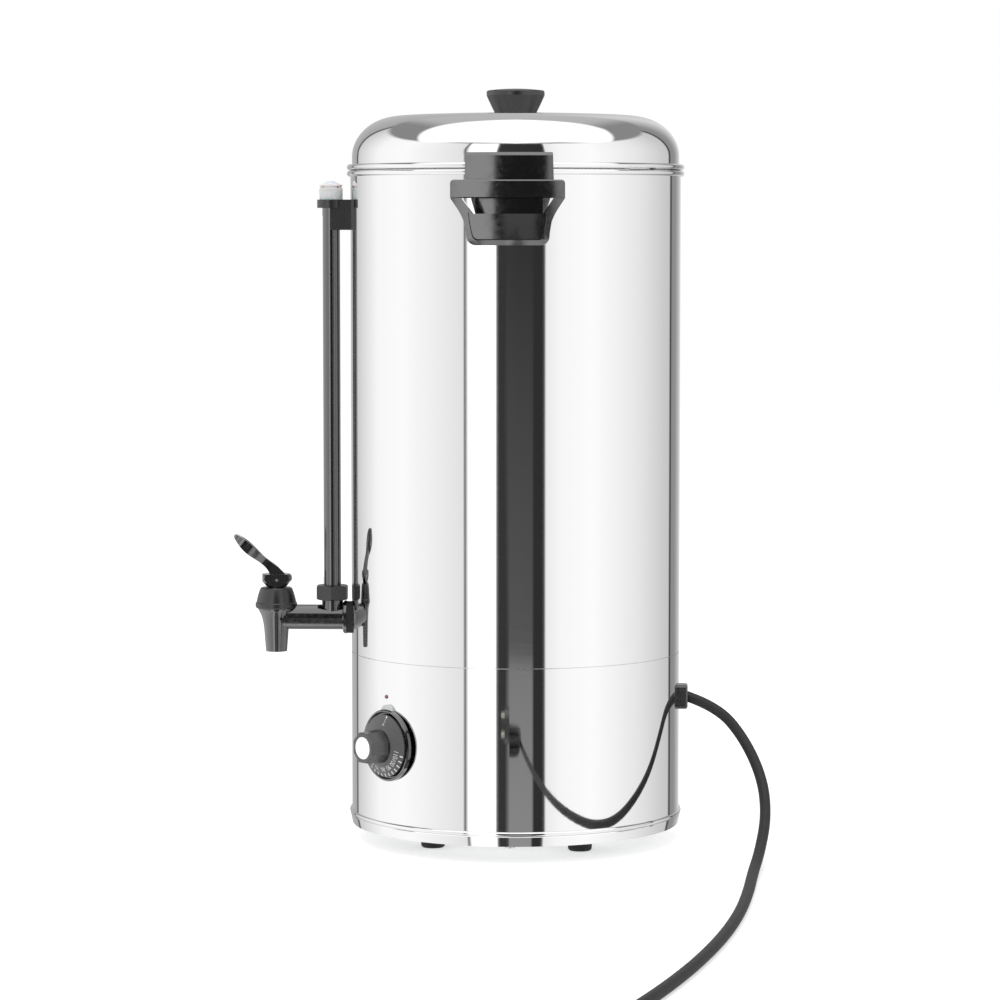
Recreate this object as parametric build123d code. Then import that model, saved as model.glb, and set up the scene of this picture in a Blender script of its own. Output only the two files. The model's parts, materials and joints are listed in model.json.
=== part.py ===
from build123d import *
import os
from math import pi, radians, sqrt, tan

# Free-standing hot water urn, about 20 litres: a polished steel tank on a base that holds the heater and
# its thermostat, a lift-off lid, two side handles, and a lever tap that carries the sight gauge.
#
# Millimetres and degrees, +Z up. The origin is on the tank's axis, on the surface the feet stand on.
# The tap faces -Y, the handles stand at +X and -X, and the mains lead leaves near +Y.
# Pieces on the wall are drawn pointing along +X and then turned about Z to their own place.

# ---- Driving dimensions ----
body_radius = 135.0
sheet = 1.0                    # tank and base wall thickness
lid_sheet = 0.8
base_bottom = 14.0             # lower edge of the base ring, above the surface
seam_height = 155.8            # where the tank meets the base
rim_height = 547.0             # middle of the tank's rolled rim
bead_radius = 2.4              # rolled beads of the rim and the lid
bead_circle = 135.5            # radius of the circle that both beads follow
tank_floor_height = 168.0
lid_gap = 0.3                  # air between the two beads

tap_angle = -90.0
handle_angles = {"right": 0.0, "left": 180.0}
control_angle = -47.0
lamp_angle = -48.0
cord_angle = 89.0
vent_angle = 50.0

tap_height = 182.0             # tap arm's axis
tap_drawn = 183.0              # the same height in the tap's own outlines
gauge_reach = 151.4            # gauge axis, from the body axis
spout_reach = 197.9            # spout axis, from the body axis
lever_turn = 8.0               # the lever's resting turn about the stem
dial_height = 88.6
lamp_height = 127.5
gland_height = 118.0
handle_screw_heights = (500.0, 524.0)
bracket_screw_height = 514.0
foot_circle = 85.0
foot_angles = (40.0, 130.0, 220.0, 310.0)
cover_screw_circle = 124.0
cover_screw_angles = (0.0, 120.0, 240.0)
cord_diameter = 8.8
screw_radius, screw_hole = 1.75, 1.95   # thread-forming screws and the plain holes they pass
stem_radius = 1.8

# ---- Sizes worked out from them ----
inner_radius = body_radius - sheet
lid_bead_height = rim_height + 2 * bead_radius + lid_gap
lid_radius = 133.7
lid_shoulder = (95.0, 593.9)   # where the rounded shoulder meets the dome
dome_radius = 2100.0
dome_centre = lid_shoulder[1] - sqrt(dome_radius ** 2 - lid_shoulder[0] ** 2)
dome_top = dome_centre + dome_radius

BASE = (Align.CENTER, Align.CENTER, Align.MIN)


# ---- Helpers ----
def upright(radius, low, high, x=0.0, y=0.0):
    """A cylinder along Z."""
    return Pos(x, y, low) * Cylinder(radius, high - low, align=BASE)


def peg(radius, start, end, height=0.0, side=0.0):
    """A cylinder that points outward, along X."""
    return Pos(start, side, height) * Rot(0, 90, 0) * Cylinder(radius, end - start, align=BASE)


def block(x, y, z):
    """A box from three (low, high) pairs."""
    size = [high - low for low, high in (x, y, z)]
    middle = [(high + low) / 2 for low, high in (x, y, z)]
    return Pos(*middle) * Box(*size)


def section(*points):
    """A closed outline in the XZ plane, given as (radius, height) points."""
    return make_face(Plane.XZ * Polyline(*points, close=True))


def band(inner, outer, low, high):
    """A rectangle in the XZ plane."""
    return section((inner, low), (outer, low), (outer, high), (inner, high))


def bead(radius, height, size):
    """A round section in the XZ plane."""
    return Plane.XZ * Pos(radius, height) * Circle(size)


def spun(profile, arc=360.0):
    return revolve(profile, axis=Axis.Z, revolution_arc=arc)


def turned(shape, angle):
    return Rot(0, 0, angle) * shape


def at_tap(shape):
    """Places a piece of the tap that is drawn pointing along +X, with the arm's axis at tap_drawn."""
    return turned(Pos(0, 0, tap_height - tap_drawn) * shape, tap_angle)


def at_spout(shape, turn=0.0):
    """Places a piece of the tap that is drawn round Z on the spout's axis, turned about it."""
    return at_tap(Pos(spout_reach, 0, 0) * turned(shape, turn))


def group(solids):
    """Several separate solids in one node."""
    return Compound(children=list(solids))


def hex_prism(across_flats, low, high, x=0.0):
    """A hexagonal nut blank along Z, with its corners rounded off at both ends."""
    corner = across_flats / sqrt(3)
    blank = Pos(x, 0, low) * extrude(RegularPolygon(corner, 6), high - low)
    edge, fall = across_flats / 2 - 0.3, corner - across_flats / 2 + 0.3
    cone = spun(section((0, low), (edge, low), (edge + fall, low + 0.55 * fall),
                        (edge + fall, high - 0.55 * fall), (edge, high), (0, high)))
    return blank & Pos(x, 0, 0) * cone


def inside_wall(shape):
    """Trims a piece to the curve of the wall's inner face."""
    return shape & upright(inner_radius, 0, 700)


def outside_wall(shape):
    """Trims a piece to the curve of the wall's outer face."""
    return shape - upright(body_radius, 0, 700)


# ---- Tank and base ----
def tank_shell():
    wall = spun(band(inner_radius, body_radius, seam_height + 0.3, rim_height)
                + bead(bead_circle, rim_height, bead_radius))
    wall -= turned(peg(8.3, 120, 140, tap_height), tap_angle)
    wall -= turned(peg(screw_hole, 120, 140, bracket_screw_height), tap_angle)
    for angle in handle_angles.values():
        for height in handle_screw_heights:
            wall -= turned(peg(screw_hole, 120, 140, height), angle)
    return wall


def pan_region(inset):
    """Everything under the tank floor's surface: a raised flat middle that drains to the wall."""
    rim, low = inner_radius - inset, 140.0
    top, gutter = tank_floor_height - inset, 164.0 - inset
    corner = 4.0
    edges = [
        Line((0, low), (rim, low)),
        Line((rim, low), (rim, gutter - corner)),
        JernArc((rim, gutter - corner), (0, 1), corner, 90),
        Line((rim - corner, gutter), (96, top)),
        Line((96, top), (0, top)),
        Line((0, top), (0, low)),
    ]
    return make_face(Plane.XZ * Curve(edges))


def tank_floor():
    return spun(pan_region(0) - pan_region(sheet) - band(0, inner_radius - sheet, 139, 141))


def base_skirt():
    wall = spun(band(inner_radius, body_radius, 18.0, seam_height - 0.3))
    wall -= turned(peg(5.4, 120, 140, dial_height), control_angle)
    for side in (-14.0, 14.0):
        wall -= turned(peg(1.7, 120, 140, dial_height, side), control_angle)
    wall -= turned(peg(1.75, 120, 140, lamp_height), lamp_angle)
    wall -= turned(peg(8.1, 120, 140, gland_height), cord_angle)
    return wall


def base_ring():
    """The rolled foot ring: a bead over a band that tapers in, with a lip that carries the cover."""
    rolled = bead(body_radius, 23.9, 1.9) - band(body_radius - 4, body_radius, 20, 28)
    foot = section((body_radius, 17.6), (133.5, 15.2), (118, 15.2), (118, base_bottom),
                   (134.7, base_bottom), (136.3, 21.6), (body_radius, 23.5))
    ring = spun(rolled + foot)
    for angle in cover_screw_angles:
        ring -= turned(upright(2.2, 13, 17, cover_screw_circle), angle)
    return ring


def base_cover():
    """Round cover under the heater space, with rows of vent slots and the four foot holes."""
    cover = upright(132.6, 15.2, 16.4)
    slot = Rot(0, 0, 90) * extrude(SlotOverall(26, 4), 2)
    for row, count in ((38.0, 6), (58.0, 12), (106.0, 18)):
        for number in range(count):
            cover -= turned(Pos(row, 0, 15) * slot, 360 * (number + 0.5) / count)
    for angle in foot_angles:
        cover -= turned(upright(2.3, 15, 17, foot_circle), angle)
    for angle in cover_screw_angles:
        cover -= turned(upright(2.2, 15, 17, cover_screw_circle), angle)
    return cover


def cover_screws():
    screw = upright(4.0, 11.6, base_bottom, cover_screw_circle)
    screw += upright(2.0, base_bottom, 19.4, cover_screw_circle)
    nut = upright(4.5, 16.4, 19.4, cover_screw_circle)
    return group(turned(screw + nut, angle) for angle in cover_screw_angles)


def foot():
    pad = spun(section((0, 0), (8.4, 0), (9.6, 1.2), (10.8, 15.2), (0, 15.2)))
    return Pos(foot_circle, 0, 0) * (pad - upright(4.6, -1, 7) - upright(2.2, 0, 20))


def feet():
    return group(turned(foot(), angle) for angle in foot_angles)


def foot_screws():
    screw = upright(4.2, 4.2, 7.0, foot_circle) + upright(2.1, 7.0, 22.0, foot_circle)
    screw += Pos(foot_circle, 0, 0) * hex_prism(7.0, 16.4, 19.6)
    return group(turned(screw, angle) for angle in foot_angles)


# ---- Heater and controls inside the base ----
element_ring, element_radius, element_height = 62.0, 4.0, 159.0
element_legs = 140.0           # lower end of the cold legs
element_gap = 26.0             # half the open part of the ring


def element_rod(radius):
    """An open ring with both ends turned down."""
    ends = (element_gap, 360.0 - element_gap)
    ring = turned(spun(bead(element_ring, element_height, radius), 360.0 - 2 * element_gap), ends[0])
    bend = 10.0
    for angle, way in ((ends[0], -1), (ends[1], 1)):
        elbow = Pos(element_ring, 0, element_height) * Rot(0, 0, 0 if way < 0 else 180)
        elbow *= Pos(0, 0, -bend) * Rot(0, 90, 0) * Rot(0, 0, 180)
        quarter = revolve(Plane.XZ * Pos(bend, 0) * Circle(radius), axis=Axis.Z, revolution_arc=90)
        ring += turned(elbow * quarter, angle)
        ring += turned(upright(radius, element_legs, element_height - bend, element_ring, way * bend), angle)
    return ring


def heater_plate():
    plate = upright(88, 160.6, tank_floor_height - sheet)
    return plate - element_rod(element_radius) - upright(3.1, 150, 170)


def heating_element():
    rod = element_rod(element_radius)
    bend = 10.0
    for angle, way in ((element_gap, -1), (360.0 - element_gap, 1)):
        rod += turned(upright(1.5, element_legs - 8, element_legs, element_ring, way * bend), angle)
    return rod


def heater_clamp():
    """A pressed bar across the element, held up by one stud and nut."""
    bar = block((-76, 76), (-9, 9), (152.6, 155.0)) + block((-30, 30), (-9, 9), (155.0, 160.6))
    bar -= upright(3.1, 150, 170)
    stud = upright(3.0, 144, tank_floor_height - sheet)
    return bar + stud + hex_prism(10.0, 147.4, 152.6)


def cutout():
    """Snap-disc thermal cut-out that opens the circuit if the tank is heated dry."""
    can = upright(8.5, 151.0, 160.6, 0, 36) + upright(7.0, 143.0, 151.0, 0, 36)
    can += block((-14, 14), (31, 41), (159.6, 160.6))
    tag = block((-0.4, 0.4), (-3.2, 3.2), (137.0, 144.0))
    return can + Pos(-4.5, 36, 0) * tag + Pos(4.5, 36, 0) * tag


def thermostat_body():
    case = block((92, 120), (-18, 18), (dial_height - 20, dial_height + 20))
    case = fillet(case.edges().filter_by(Axis.X), 3)
    frame = block((120, 121.5), (-21, 21), (dial_height - 14, dial_height + 14))
    body = case + frame + peg(5.0, 121.5, 136.2, dial_height) - peg(3.05, 112, 137, dial_height)
    for side in (-14.0, 14.0):
        body += peg(4.0, 121.5, 130.5, dial_height, side)
        body -= peg(1.5, 119, 136, dial_height, side)
    return turned(body, control_angle)


def thermostat_screws():
    def screw(side):
        head = Pos(134.9, side, dial_height) * Rot(0, 90, 0) * Cone(1.5, 2.8, 1.4, align=BASE)
        return peg(1.5, 123.0, 134.9, dial_height, side) + head
    return group(turned(screw(side), control_angle) for side in (-14.0, 14.0))


def thermostat_sensor():
    """Sensing bulb against the tank floor, beside the heater plate, and the capillary that leads to it."""
    reach, height, half = 91.2, tank_floor_height - sheet - 3.0, 30.0
    route = [(106, 0, dial_height + 20), (106, 0, 135), (104, 38, 150), (98, 50, height),
             (reach, 40, height), (reach, half, height)]
    line = FilletPolyline(*route, radius=4)
    capillary = sweep(Plane(line @ 0, z_dir=line % 0) * Circle(1.0), path=line)
    bulb = Pos(reach, 0, height) * Rot(90, 0, 0) * Cylinder(3.0, 2 * half)
    return turned(capillary + bulb, control_angle)


def terminal_block():
    """Three-pole ceramic block, screwed to the cover beside the cord's entry."""
    body = fillet(block((-21, 21), (-9, 9), (0, 17)).edges().filter_by(Axis.Z), 2)
    for pole in (-14.0, 0.0, 14.0):
        body -= Pos(pole, 0, 9) * Rot(90, 0, 0) * Cylinder(2.2, 30)
        body -= upright(2.0, 9, 20, pole, -4.5) + upright(2.0, 9, 20, pole, 4.5)
    body -= upright(1.7, -1, 20, -7) + upright(1.7, -1, 20, 7)
    return Pos(0, 86, 16.4) * body


def earth_stud():
    stud = upright(2.0, 16.4, 32, 44, 84) + Pos(44, 84, 0) * hex_prism(7.0, 19.0, 22.2)
    return stud + upright(5.0, 16.4, 17.6, 44, 84) + upright(4.5, 17.6, 19.0, 44, 84)


# ---- Lid ----
def lid_region(inset):
    """Everything under the lid's surface: straight wall, rounded shoulder, shallow dome."""
    edge, low, top = lid_radius - inset, lid_bead_height, dome_top - inset
    start = (edge, 561.0)
    shoulder = (lid_shoulder[0], dome_centre + sqrt((dome_radius - inset) ** 2 - lid_shoulder[0] ** 2))
    slope = lid_shoulder[0] / dome_radius
    edges = [
        Line((0, low), (edge, low)),
        Line((edge, low), start),
        Bezier(start, (edge, 575.5), (shoulder[0] + 25.5, shoulder[1] - 25.5 * slope), shoulder),
        TangentArc((0, top), shoulder, tangent=(1, 0)),
        Line((0, top), (0, low)),
    ]
    return make_face(Plane.XZ * Curve(edges))


def lid_shell():
    shell = spun(lid_region(0) - lid_region(lid_sheet) + bead(bead_circle, lid_bead_height, bead_radius))
    shell -= upright(screw_hole, 590, 605)
    return shell - turned(block((130, 140), (-15, 15), (548, lid_bead_height - 1.4)), vent_angle)


def lid_skirt():
    """Locating ring welded inside the lid, which drops into the tank's mouth."""
    outer = lid_radius - lid_sheet
    return spun(band(outer - 0.8, outer, 540.0, 560.0))


def lid_knob():
    outline = [
        Line((0, dome_top), (16.8, dome_top)),
        ThreePointArc((16.8, dome_top), (20.6, 603.8), (23.7, 610.6)),
        Line((23.7, 610.6), (23.7, 613.2)),
        JernArc((23.7, 613.2), (0, 1), 1.6, 90),
        TangentArc((0, 616.2), (22.1, 614.8), tangent=(1, 0)),
        Line((0, 616.2), (0, dome_top)),
    ]
    return spun(make_face(Plane.XZ * Curve(outline))) - upright(screw_radius, 590, 611)


def lid_screw():
    under = dome_top - lid_sheet - 1.0
    head = Pos(0, 0, under) * Rot(180, 0, 0) * Cylinder(4.0, 2.6, align=BASE)
    return fillet(head.edges().group_by(Axis.Z)[0], 1.0) + upright(screw_radius, under, 610.5)


def lid_washer():
    top = dome_top - lid_sheet
    washer = upright(7.0, top - 1.0, top + 1.0) - upright(screw_hole, top - 2, top + 2)
    return washer & spun(lid_region(lid_sheet))


# ---- Handles ----
plate_reach = 145.0            # front of the handle's back plate
bar_inner, bar_reach = 167.5, 179.0
bar_low, bar_high = 526.0, 540.2
handle_low, handle_high = 489.6, 562.0
rim_clearance = 138.6          # the plate stands off this far where it passes the beads
plate_half, shield_half = 26.5, 34.9   # half widths below and above the bar
bar_half, arm_inner = 44.4, 35.5       # half widths of the bar and of the gap between its arms
sill = 514.0                   # top of the apron's panel, under the gap


def side_outline(points, corners=None):
    """A handle outline in the YZ plane, given for +Y and mirrored, pushed out along X.

    corners gives a radius for each point, by its number, that is rounded on both sides.
    """
    other = [(-y, z) for y, z in reversed(points)]
    solid = extrude(make_face(Plane.YZ * Polyline(*points, *other, close=True)), 200)
    for number, radius in (corners or {}).items():
        y, z = points[number]
        edges = [edge for edge in solid.edges().filter_by(Axis.X)
                 if abs(abs(edge.center().Y) - y) < 0.01 and abs(edge.center().Z - z) < 0.01]
        solid = fillet(edges, radius)
    return solid


def handle_blank():
    """One moulding: back plate, grip bar, and the flared apron that carries the bar's ends.

    The apron has a shallow panel in front and is hollow from below.
    """
    plate = spun(section((130, handle_low), (plate_reach, handle_low), (plate_reach, handle_high - 2.5),
                         (plate_reach - 2.5, handle_high), (rim_clearance, handle_high),
                         (rim_clearance, 543.0), (body_radius, 541.0), (130, 541.0)))
    plate &= side_outline([(plate_half, handle_low), (plate_half, bar_low), (shield_half, 531.0),
                           (shield_half, bar_high), (34.2, handle_high)], {4: 1.0})

    apron = spun(section((130, handle_low), (164, handle_low), (169, 494.0), (173.5, 508.0),
                         (bar_reach - 1.5, bar_low), (bar_reach, bar_low + 0.8), (bar_reach, bar_high - 1),
                         (bar_reach - 1, bar_high), (130, bar_high)))
    flare = [(31.5, handle_low), (32.6, 500.0), (34.0, 508.0), (35.9, 512.5), (38.4, 517.0),
             (bar_half, bar_low), (bar_half, bar_high)]
    apron &= side_outline(flare, {0: 7.0, 6: 3.0})

    grip_space = spun(section((plate_reach, sill), (160, sill), (bar_inner, bar_low),
                              (bar_inner, 560.0), (plate_reach, 560.0)))
    grip_space &= side_outline([(plate_half, sill - 1), (arm_inner, bar_low), (arm_inner, 560.0)])
    window = spun(section((plate_reach, sill), (190, sill), (190, bar_low), (plate_reach, bar_low)))
    window &= side_outline([(plate_half, sill - 1), (arm_inner, bar_low), (arm_inner, 530.0)])
    behind_arms = spun(section((130, sill), (157, sill), (bar_inner - 4, bar_low), (bar_inner - 4, 560),
                               (130, 560)))
    behind_arms -= side_outline([(plate_half, 500), (plate_half, 570)])

    low = handle_low + 4.0
    recess = spun(section((167.2, low), (190, low), (190, sill + 1), (173.6, sill + 1), (172.0, 508.0)))
    recess &= side_outline([(27.0, low), (28.6, 500.0), (30.0, 508.0), (30.6, sill + 1)], {0: 4.0})
    hollow = spun(section((149, handle_low - 1), (160, handle_low - 1), (167.5, 508.0), (168.5, sill - 4),
                          (149, sill - 4)))
    hollow &= side_outline([(24.0, handle_low - 1), (25.5, sill - 4)])
    return outside_wall(plate + (apron - grip_space - window - behind_arms - recess - hollow))


def handle():
    body = handle_blank()
    for height in handle_screw_heights:
        body -= peg(screw_radius, 130, 143, height)
    return body


def handle_screws():
    def screw(height):
        head = inside_wall(peg(5.5, 132.4, 136, height)) + peg(4.2, 130.0, 132.4, height)
        return head + peg(screw_radius, 132.4, 142.5, height)
    return group(turned(screw(height), angle)
                 for angle in handle_angles.values() for height in handle_screw_heights)


# ---- Tap ----
spout_low = 154.6
bonnet_low, bonnet_high = 190.4, 207.5
pin_height = 214.0
arm_radius, arm_bore = 10.35, 5.0
flange_reach = 139.2           # where the arm's flange bears on its washer


def tap_body():
    """Arm, threaded shank, gauge stub and the tapered spout, moulded in one."""
    flange = spun(section((0, 0), (13.7, 0), (13.7, 2.1), (12.6, 3.1), (0, 3.1)))
    arm = Pos(flange_reach, 0, tap_drawn) * Rot(0, 90, 0) * flange
    arm += peg(arm_radius, 141, spout_reach, tap_drawn) + peg(8.0, 116, 140, tap_drawn)
    arm -= upright(17.4, bonnet_low, 200, spout_reach)
    stub = upright(8.8, tap_drawn, 197.4, gauge_reach) + upright(8.0, 197, 203.0, gauge_reach)
    outline = [
        Line((0, spout_low), (8.8, spout_low)),
        Line((8.8, spout_low), (10.1, 172.0)),
        Spline((10.1, 172.0), (11.4, 180.5), (14.9, 189.0), tangents=((0.1, 1), (0.7, 1))),
        Line((14.9, 189.0), (14.9, bonnet_low)),
        Line((14.9, bonnet_low), (12.6, bonnet_low)),
        Line((12.6, bonnet_low), (12.6, 196.0)),
        Line((12.6, 196.0), (0, 196.0)),
        Line((0, 196.0), (0, spout_low)),
    ]
    spout = Pos(spout_reach, 0, 0) * spun(make_face(Plane.XZ * Curve(outline)))
    bore = spun(section((0, 150), (6.6, 150), (5.6, 172), (5.6, 175), (8.0, 177.5), (10.2, 177.5),
                        (10.2, 200), (0, 200)))
    body = arm + stub + spout - Pos(spout_reach, 0, 0) * bore
    body -= peg(arm_bore, 110, spout_reach, tap_drawn)
    body -= upright(3.6, tap_drawn, 210, gauge_reach) + upright(5.1, 191, 210, gauge_reach)
    return at_tap(body)


def tap_washers():
    """One seal outside the wall and one inside."""
    outer = outside_wall(peg(13.2, 130, flange_reach, tap_height)) - peg(8.05, 110, 150, tap_height)
    inner = inside_wall(peg(13.0, 130.6, 140, tap_height)) - peg(8.05, 110, 150, tap_height)
    return group(turned(piece, tap_angle) for piece in (outer, inner))


def tap_nut():
    nut = Rot(0, 90, 0) * Rot(0, 0, 30) * hex_prism(24.0, 0, 8.0)
    return turned(Pos(122.6, 0, tap_height) * nut - peg(8.05, 110, 150, tap_height), tap_angle)


def tap_bonnet():
    """Screwed cap that holds the spring over the valve seat."""
    outline = [
        Line((0, bonnet_low), (16.2, bonnet_low)),
        Line((16.2, bonnet_low), (17.2, 191.6)),
        Line((17.2, 191.6), (17.2, 194.6)),
        Line((17.2, 194.6), (16.4, 195.4)),
        ThreePointArc((16.4, 195.4), (15.1, 201.0), (13.2, 206.6)),
        Line((13.2, 206.6), (12.2, bonnet_high)),
        Line((12.2, bonnet_high), (0, bonnet_high)),
        Line((0, bonnet_high), (0, bonnet_low)),
    ]
    cap = spun(make_face(Plane.XZ * Curve(outline)))
    cap -= upright(12.65, 190, 196.3) + upright(9.6, 190, 204.0) + upright(stem_radius + 0.08, 200, 210)
    return at_spout(cap)


def seat_cup():
    """Soft cup that the spring presses on the spout's seat."""
    cup = spun(section((0, 176.2), (5.2, 176.2), (7.0, 178.0), (8.9, 178.0), (8.9, 180.0),
                       (7.4, 185.5), (0, 185.5)))
    return at_spout(cup - upright(stem_radius + 0.05, 180, 190))


def tap_stem():
    """Rod with a collar under the spring and an eye for the lever's pin."""
    rod = upright(stem_radius, 180.0, 210.0) + upright(7.2, 185.5, 187.0) + upright(2.9, 209.6, 216.1)
    rod -= Pos(0, 0, pin_height) * Rot(90, 0, 0) * Cylinder(1.3, 10)
    return at_spout(rod, lever_turn)


def stem_spring():
    wire, coil, low, high, turns = 0.45, 5.4, 187.5, 203.5, 5
    path = Helix((high - low) / turns, high - low, coil)
    start = Plane(path @ 0, z_dir=path % 0)
    spring = Pos(0, 0, low) * sweep(start * Circle(wire), path=path)
    return at_spout(spring)


paddle_rise = 39.0             # degrees above level


def paddle():
    """Spoon-shaped paddle with a raised rim and a ribbed dish, along +X from the pin, before it is tilted."""
    plan = [
        Line((-6.5, -5.5), (-6.5, 5.5)),
        Line((-6.5, 5.5), (8, 5.5)),
        Spline((8, 5.5), (17, 5.6), (27, 9.6), (35, 11.2), tangents=((1, 0), (1, 0))),
        ThreePointArc((35, 11.2), (48.6, 0), (35, -11.2)),
        Spline((35, -11.2), (27, -9.6), (17, -5.6), (8, -5.5), tangents=((-1, 0), (-1, 0))),
        Line((8, -5.5), (-6.5, -5.5)),
    ]
    side = [
        Line((-6.5, -3.2), (-6.5, 3.4)),
        Line((-6.5, 3.4), (4, 4.6)),
        Spline((4, 4.6), (16, 4.2), (30, 5.4), (46.6, 4.4), tangents=((1, 0), (1, -0.25))),
        ThreePointArc((46.6, 4.4), (48.2, 2.6), (46.8, 0.7)),
        Spline((46.8, 0.7), (33, -2.6), (16, -1.8), (6, -4.2), tangents=((-1, -0.4), (-1, -0.6))),
        Line((6, -4.2), (-6.5, -3.2)),
    ]
    blank = extrude(make_face(Curve(plan)), 12, both=True)
    blank &= extrude(make_face(Plane.XZ * Curve(side)), 14, both=True)
    dish = Pos(31.2, 0, 8.6) * scale(Sphere(1), by=(13.2, 9.4, 7.4))
    ribs = [block((x - 0.5, x + 0.5), (-7, 7), (-1, 3.0)) for x in (24.5, 27.5, 30.5, 33.5, 36.5)]
    return blank - (dish - ribs[0] - ribs[1] - ribs[2] - ribs[3] - ribs[4])


def tap_lever():
    """Hub that straddles the stem, with the paddle rising from it."""
    hub = spun(section((0, 207.9), (8.0, 207.9), (9.6, 209.6), (12.6, 213.2), (13.2, 214.4),
                       (12.8, 217.4), (11.6, 218.8), (0, 218.8)))
    hub &= block((-13.2, 11.5), (-8.2, 8.2), (200, 230))
    lever = hub + Pos(-1.6, 0, pin_height + 4.6) * Rot(0, -paddle_rise, 0) * paddle()
    slot = Pos(0, 0, pin_height) * Rot(90, 0, 0) * Cylinder(3.9, 6.8)
    slot += block((-4.5, 13.5), (-3.4, 3.4), (205, pin_height))
    lever -= slot
    lever -= Pos(0, 0, pin_height) * Rot(90, 0, 0) * Cylinder(1.25, 30)
    return at_spout(lever, lever_turn)


def lever_pin():
    return at_spout(Pos(0, 0, pin_height) * Rot(90, 0, 0) * Cylinder(1.25, 16.0), lever_turn)


# ---- Sight gauge ----
guard_radius, guard_wall = 7.25, 1.35
guard_top = 526.0


def gauge_nut():
    nut = Pos(gauge_reach, 0, 0) * turned(hex_prism(24.9, 197.6, 209.6), 30.0)
    nut -= upright(8.05, 190, 203.2, gauge_reach) + upright(guard_radius, 200, 215, gauge_reach)
    return at_tap(nut)


def gauge_seal():
    seal = upright(7.1, 203.3, 205.0, gauge_reach) - upright(5.0, 200, 210, gauge_reach)
    return at_tap(seal)


def sight_glass():
    tube = upright(5.0, 190.2, 533.0, gauge_reach) - upright(3.8, 190, 540, gauge_reach)
    return turned(tube, tap_angle)


def gauge_guard():
    """Channel round the glass, slit along its outer side so that the level can be read."""
    guard = upright(guard_radius, 204.2, guard_top, gauge_reach)
    guard -= upright(guard_radius - guard_wall, 200, 530, gauge_reach)
    guard -= block((gauge_reach, gauge_reach + 10), (-2.6, 2.6), (215, 513))
    return turned(guard, tap_angle)


def gauge_bracket():
    """Clip that holds the guard's top end to the tank wall."""
    low, collar = 501.2, 519.2
    clip = upright(11.4, collar, guard_top, gauge_reach)
    clip += block((130, gauge_reach), (-8.7, 8.7), (low, guard_top))
    clip += block((130, 138.8), (-12, 12), (low, guard_top))
    clip = outside_wall(clip) - upright(guard_radius, 490, 540, gauge_reach)
    return turned(clip - peg(screw_radius, 130, 143, bracket_screw_height), tap_angle)


def bracket_screw():
    screw = inside_wall(peg(4.6, 132.6, 136, bracket_screw_height))
    screw += peg(3.6, 130.6, 132.6, bracket_screw_height)
    return turned(screw + peg(screw_radius, 132.6, 142.5, bracket_screw_height), tap_angle)


def gauge_cap():
    """Vented cap on the open end of the glass."""
    cap = spun(section((0, guard_top), (9.5, guard_top), (9.6, 534.6), (8.8, 535.6), (8.8, 536.8),
                       (9.5, 537.4), (9.3, 537.9), (2.4, 541.2), (0, 541.2)))
    cap -= upright(5.0, 520, 533.0) + upright(3.6, 530, 537.0)
    for angle in (45, 135, 225, 315):
        cap -= turned(peg(1.0, 2, 12, 536.4), angle)
    return turned(Pos(gauge_reach, 0, 0) * cap, tap_angle)


# ---- Dial, lamp and cord entry ----
dial_back = 137.7              # back of the dial, from the body axis


def facing_out(shape, start):
    """Places a shape drawn along +Z so that it points out of the wall at the dial's height."""
    return Pos(start, 0, dial_height) * Rot(0, 90, 0) * shape


def dial_bezel():
    """Flat ring round the dial, on a pad that fits the curve of the wall."""
    ring = spun(section((0, 0), (28.9, 0), (28.9, 2.4), (28.1, 3.4), (27.2, 3.4), (26.6, 2.8),
                        (26.2, 1.3), (0, 1.3)))
    pad = outside_wall(peg(20.0, 130, 135.8, dial_height))
    bezel = facing_out(ring, 135.2) + pad - peg(5.05, 120, 140, dial_height)
    for side in (-14.0, 14.0):
        bezel -= peg(1.55, 120, 140, dial_height, side)
        bezel -= Pos(134.9, side, dial_height) * Rot(0, 90, 0) * Cone(1.55, 3.25, 1.65, align=BASE)
    return turned(bezel, control_angle)


def dial_knob():
    """Coned skirt for the scale, with an eight-sided grip that tapers outward."""
    skirt = spun(section((0, 0), (25.2, 0), (25.5, 0.4), (25.2, 1.9), (14.2, 6.9), (0, 6.9)))
    grip = loft([Pos(0, 0, 5.0) * RegularPolygon(13.8, 8), Pos(0, 0, 24.0) * RegularPolygon(12.9, 8)])
    grip = fillet(grip.edges().group_by(Axis.Z)[-1], 0.8)
    knob = skirt + grip - Pos(0, 0, 22.6) * Cylinder(9.1, 4, align=BASE)
    knob = facing_out(Rot(0, 0, 22.5) * knob, dial_back)
    return turned(knob - peg(3.0, 130, 155, dial_height), control_angle)


def dial_cap():
    disc = fillet(Cylinder(9.05, 1.6, align=BASE).edges().group_by(Axis.Z)[-1], 0.5)
    return turned(facing_out(disc, dial_back + 22.6), control_angle)


def thermostat_shaft():
    return turned(peg(3.0, 113, 154, dial_height), control_angle)


def dial_index():
    """Round-topped tab over the bezel that the scale is read against."""
    tab = peg(7.4, 130, 137.2, dial_height + 25.4) - peg(29.0, 120, 150, dial_height)
    return turned(outside_wall(tab), control_angle)


def pilot_lamp():
    lens = Pos(135.0, 0, lamp_height) * Sphere(1.6)
    lens &= peg(1.7, 135.0, 140, lamp_height)
    return turned(lens + peg(1.6, 124, 135.0, lamp_height) + peg(3.6, 120, 133.3, lamp_height), lamp_angle)


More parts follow.
